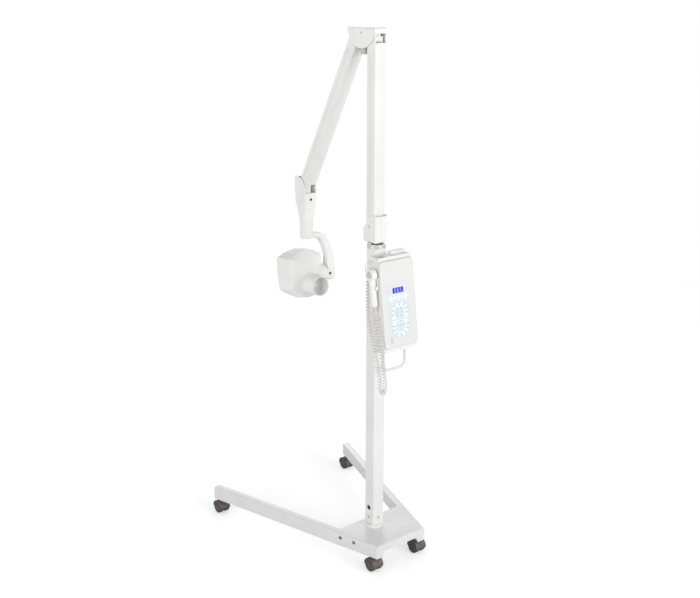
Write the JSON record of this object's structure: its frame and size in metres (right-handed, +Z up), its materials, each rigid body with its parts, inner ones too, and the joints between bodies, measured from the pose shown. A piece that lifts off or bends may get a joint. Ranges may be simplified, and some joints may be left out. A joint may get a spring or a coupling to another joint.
{
  "type": "mobile dental x-ray unit",
  "caption": "Mobile dental x-ray unit: wheeled U-shaped base, square column with control box, folding spring arm and tilting tube head with beam cone.",
  "frame": {"origin": "on the floor under the middle of the unit's overall length, on the base's middle plane", "axes": "+Z up, +Y towards the open side of the legs where the tube head hangs, +X across"},
  "size_m": [0.7048, 0.8045, 1.956],
  "materials": {
    "white_paint": "satin white powder coat",
    "base_paint": "gloss white paint",
    "white_plastic": "moulded white plastic",
    "head_plastic": "moulded white plastic",
    "cone_plastic": "moulded white plastic",
    "grey_film": "printed polyester film",
    "display": "lit display behind clear film",
    "dark_plastic": "moulded dark plastic",
    "caster_plastic": "moulded dark grey nylon",
    "tread": "moulded soft tread",
    "steel": "machined steel",
    "spring_steel": "oiled spring steel",
    "cast_white": "white painted casting",
    "button_grey": "moulded grey plastic",
    "cord_plastic": "soft white cord sheath"
  },
  "bodies": {
    "base": {"leg_left": "base_paint", "leg_right": "base_paint", "leg_caps": "dark_plastic", "base_deck": "base_paint", "leg_bolts": "steel", "caster_stems": "steel", "column_flange": "white_paint", "column_tube": "white_paint", "column_screws": "steel", "cable_grommet": "dark_plastic", "column_collar": "white_paint", "swivel_washer": "dark_plastic", "box_bracket": "white_paint", "box_rear_shell": "white_plastic", "box_front_panel": "white_plastic", "keypad_film": "grey_film", "display_window": "display", "push_handle": "steel", "handset_holder": "white_plastic", "cord_gland": "cord_plastic", "cord_lead": "cord_plastic", "curly_cord": "cord_plastic", "handset_body": "white_plastic", "handset_relief": "cord_plastic"},
    "switch": {"power_switch": "dark_plastic"},
    "exposure_button": {"handset_button": "button_grey"},
    "swivel": {"swivel_spindle": "steel", "lower_knuckle": "cast_white", "lower_cover_left": "white_plastic", "lower_cover_right": "white_plastic", "lower_pivot_pin": "steel"},
    "rear_arm": {"rear_arm_tube": "white_paint", "rear_arm_spring": "spring_steel", "rear_arm_rod": "steel"},
    "rear_link": {"rear_link_bar": "steel"},
    "elbow": {"elbow_bracket": "cast_white", "elbow_cap": "white_plastic", "elbow_pins": "steel", "elbow_stop_block": "dark_plastic"},
    "front_arm": {"front_arm_tube": "white_paint", "front_arm_spring": "spring_steel", "front_arm_rod": "steel"},
    "front_link": {"front_link_bar": "steel"},
    "wrist": {"wrist_housing": "cast_white", "wrist_pivot_pin": "steel"},
    "yoke": {"yoke_arm": "cast_white"},
    "head": {"head_upper_shell": "head_plastic", "head_lower_shell": "head_plastic", "tube_tank": "steel", "head_trunnion": "steel", "beam_cone": "cone_plastic"},
    "hood_front_left": {"caster_hood_front_left": "caster_plastic"},
    "wheels_front_left": {"caster_wheels_front_left": "tread"},
    "hood_front_right": {"caster_hood_front_right": "caster_plastic"},
    "wheels_front_right": {"caster_wheels_front_right": "tread"},
    "hood_rear_left": {"caster_hood_rear_left": "caster_plastic"},
    "wheels_rear_left": {"caster_wheels_rear_left": "tread"},
    "hood_rear_right": {"caster_hood_rear_right": "caster_plastic"},
    "wheels_rear_right": {"caster_wheels_rear_right": "tread"}
  },
  "joints": [
    {"name": "caster_swivel_front_left", "type": "hinge", "parent": "base", "child": "hood_front_left", "pos_m": [-0.32844, 0.3537, 0.0581], "axis": [0, 0, 1], "continuous": true},
    {"name": "wheel_spin_front_left", "type": "hinge", "parent": "hood_front_left", "child": "wheels_front_left", "pos_m": [-0.32844, 0.3657, 0.025], "axis": [1, 0, 0], "continuous": true},
    {"name": "caster_swivel_front_right", "type": "hinge", "parent": "base", "child": "hood_front_right", "pos_m": [0.32844, 0.3537, 0.0581], "axis": [0, 0, 1], "continuous": true},
    {"name": "wheel_spin_front_right", "type": "hinge", "parent": "hood_front_right", "child": "wheels_front_right", "pos_m": [0.32844, 0.3657, 0.025], "axis": [1, 0, 0], "continuous": true},
    {"name": "caster_swivel_rear_left", "type": "hinge", "parent": "base", "child": "hood_rear_left", "pos_m": [-0.10606, -0.3773, 0.0581], "axis": [0, 0, 1], "continuous": true},
    {"name": "wheel_spin_rear_left", "type": "hinge", "parent": "hood_rear_left", "child": "wheels_rear_left", "pos_m": [-0.10606, -0.3653, 0.025], "axis": [1, 0, 0], "continuous": true},
    {"name": "caster_swivel_rear_right", "type": "hinge", "parent": "base", "child": "hood_rear_right", "pos_m": [0.10606, -0.3773, 0.0581], "axis": [0, 0, 1], "continuous": true},
    {"name": "wheel_spin_rear_right", "type": "hinge", "parent": "hood_rear_right", "child": "wheels_rear_right", "pos_m": [0.10606, -0.3653, 0.025], "axis": [1, 0, 0], "continuous": true},
    {"name": "arm_swivel", "type": "hinge", "parent": "base", "child": "swivel", "pos_m": [-0.0165, -0.2553, 1.228], "axis": [0, 0, 1], "range_deg": [-170, 170]},
    {"name": "rear_arm_tilt", "type": "hinge", "parent": "swivel", "child": "rear_arm", "pos_m": [-0.0165, -0.2478, 1.284], "axis": [-1, 0, 0], "range_deg": [-5, 50]},
    {"name": "rear_link_turn", "type": "hinge", "parent": "swivel", "child": "rear_link", "pos_m": [-0.0165, -0.25981, 1.28897], "axis": [-1, 0, 0], "range_deg": [-5, 50]},
    {"name": "elbow_level", "type": "hinge", "parent": "rear_arm", "child": "elbow", "pos_m": [-0.0165, -0.2478, 1.92], "axis": [1, 0, 0], "range_deg": [-5, 50]},
    {"name": "front_arm_lift", "type": "hinge", "parent": "elbow", "child": "front_arm", "pos_m": [-0.0165, -0.1513, 1.92], "axis": [1, 0, 0], "range_deg": [-5, 60]},
    {"name": "front_link_turn", "type": "hinge", "parent": "elbow", "child": "front_link", "pos_m": [-0.0165, -0.14243, 1.92951], "axis": [1, 0, 0], "range_deg": [-5, 60]},
    {"name": "wrist_level", "type": "hinge", "parent": "front_arm", "child": "wrist", "pos_m": [-0.0165, 0.16381, 1.36755], "axis": [-1, 0, 0], "range_deg": [-5, 60]},
    {"name": "yoke_swivel", "type": "hinge", "parent": "wrist", "child": "yoke", "pos_m": [-0.0165, 0.17131, 1.20695], "axis": [0, 0, 1], "range_deg": [-170, 170]},
    {"name": "head_tilt", "type": "hinge", "parent": "yoke", "child": "head", "pos_m": [-0.0165, 0.17131, 1.00995], "axis": [1, 0, 0], "range_deg": [-60, 32]},
    {"name": "switch_press", "type": "slide", "parent": "base", "child": "switch", "axis": [-1, 0, 0], "range_m": [0, 0.0015], "stiffness_N_per_m": 400},
    {"name": "exposure_press", "type": "slide", "parent": "base", "child": "exposure_button", "axis": [1, 0, 0], "range_m": [0, 0.0015], "stiffness_N_per_m": 400}
  ],
  "couplings": [
    {"joint": "rear_link_turn", "follows": "rear_arm_tilt", "ratio": 1},
    {"joint": "elbow_level", "follows": "rear_arm_tilt", "ratio": 1},
    {"joint": "front_link_turn", "follows": "front_arm_lift", "ratio": 1},
    {"joint": "wrist_level", "follows": "front_arm_lift", "ratio": 1}
  ]
}
